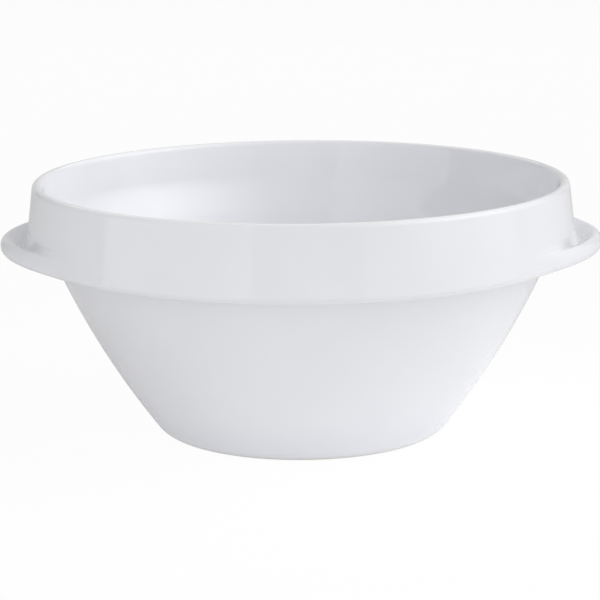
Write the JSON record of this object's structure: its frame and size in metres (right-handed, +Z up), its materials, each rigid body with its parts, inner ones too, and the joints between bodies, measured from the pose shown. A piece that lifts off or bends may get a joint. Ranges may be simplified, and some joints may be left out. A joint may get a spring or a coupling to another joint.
{
  "type": "soup crock",
  "caption": "Tapered round soup crock with an upright collar, a rounded lip, a stacking ledge and two crescent lug handles.",
  "frame": {"origin": "on the crock's axis, at the surface that its foot stands on", "axes": "+Z up out of the mouth, +X through the middle of the right lug, +Y away from the picture's camera"},
  "size_m": [0.1474, 0.1346, 0.0625],
  "materials": {
    "white_glaze": "glossy white glaze over vitrified porcelain",
    "bare_foot": "unglazed, ground smooth"
  },
  "bodies": {
    "root": {"foot_ring": "bare_foot", "bowl_floor": "white_glaze", "bowl_wall": "white_glaze", "rim_collar": "white_glaze", "left_lug_handle": "white_glaze", "right_lug_handle": "white_glaze"}
  },
  "joints": []
}
